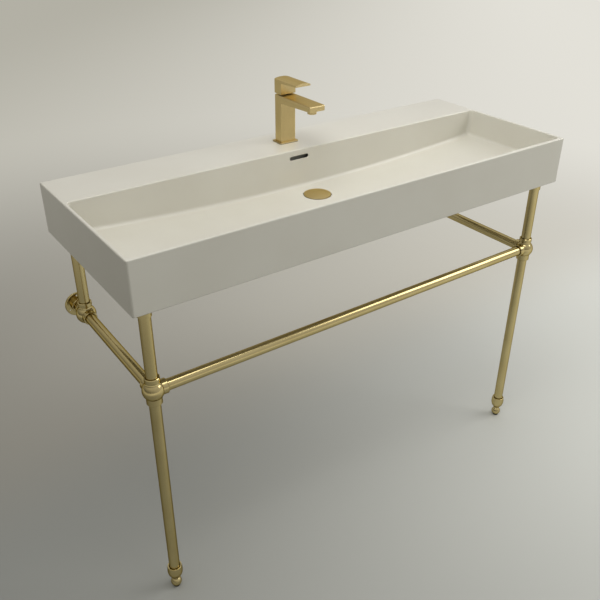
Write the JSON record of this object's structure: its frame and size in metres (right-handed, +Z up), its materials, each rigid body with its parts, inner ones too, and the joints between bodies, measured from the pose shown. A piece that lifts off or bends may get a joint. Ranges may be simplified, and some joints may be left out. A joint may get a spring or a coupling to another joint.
{
  "type": "console sink",
  "caption": "Wide shallow fireclay trough basin fixed to the wall on a satin brass console stand with towel rail, square lever tap and domed push waste.",
  "frame": {"origin": "on the wall, midway between the two wall bolt holes of the basin, 60 mm under its rim", "axes": "+X to the right as seen from the front, along the basin's width; +Y into the wall; +Z up"},
  "size_m": [1.216, 0.463, 1.0755],
  "materials": {
    "glaze": "satin glaze",
    "satin_brass": "satin",
    "rough_brass": "as machined",
    "black_rubber": "matt",
    "steel": "plain",
    "white_plastic": "matt"
  },
  "bodies": {
    "sink": {"basin": "glaze", "faucet_body": "satin_brass", "faucet_base_plate": "satin_brass", "aerator_housing": "satin_brass", "front_rail": "satin_brass", "front_left_joint": "satin_brass", "rear_left_joint": "satin_brass", "front_left_post": "satin_brass", "rear_left_post": "satin_brass", "front_left_post_cap": "satin_brass", "rear_left_post_cap": "satin_brass", "left_leg": "satin_brass", "left_side_rail": "satin_brass", "left_wall_flange": "satin_brass", "left_wall_spigot": "satin_brass", "front_right_joint": "satin_brass", "rear_right_joint": "satin_brass", "front_right_post": "satin_brass", "rear_right_post": "satin_brass", "front_right_post_cap": "satin_brass", "rear_right_post_cap": "satin_brass", "right_leg": "satin_brass", "right_side_rail": "satin_brass", "right_wall_flange": "satin_brass", "right_wall_spigot": "satin_brass", "drain_body": "rough_brass", "drain_lock_nut": "rough_brass", "drain_tailpiece": "rough_brass", "cartridge_nut": "rough_brass", "left_leg_insert": "rough_brass", "right_leg_insert": "rough_brass", "drain_top_gasket": "black_rubber", "drain_lower_gasket": "black_rubber", "faucet_base_gasket": "black_rubber", "clamp_gasket": "black_rubber", "post_pads": "black_rubber", "faucet_stud": "steel", "clamp_plate": "steel", "stud_nut": "steel", "fitting_set_screws": "steel", "drain_cartridge": "white_plastic", "aerator_insert": "white_plastic", "cartridge_body": "white_plastic"},
    "lever_swivel": {"cartridge_turntable": "white_plastic", "cartridge_pin": "steel"},
    "lever": {"cartridge_stem": "steel", "lever_handle": "satin_brass", "lever_set_screw": "steel", "lever_plug": "satin_brass"},
    "drain_cap": {"drain_cap": "satin_brass", "drain_cap_seal": "black_rubber", "drain_plunger": "white_plastic"},
    "left_foot": {"left_foot_cup": "satin_brass", "left_foot": "satin_brass", "left_foot_pad": "black_rubber"},
    "right_foot": {"right_foot_cup": "satin_brass", "right_foot": "satin_brass", "right_foot_pad": "black_rubber"}
  },
  "joints": [
    {"name": "lever_swivel", "type": "hinge", "parent": "sink", "child": "lever_swivel", "pos_m": [0, -0.072, 0.172], "axis": [0, 0, 1], "range_deg": [-45, 45]},
    {"name": "lever_lift", "type": "hinge", "parent": "lever_swivel", "child": "lever", "pos_m": [0, -0.072, 0.172], "axis": [-1, 0, 0], "range_deg": [0, 14]},
    {"name": "cap_slide", "type": "slide", "parent": "sink", "child": "drain_cap", "axis": [0, 0, 1], "range_m": [0, 0.01]},
    {"name": "left_foot_level", "type": "slide", "parent": "sink", "child": "left_foot", "axis": [0, 0, -1], "range_m": [0, 0.012]},
    {"name": "right_foot_level", "type": "slide", "parent": "sink", "child": "right_foot", "axis": [0, 0, -1], "range_m": [0, 0.012]}
  ]
}
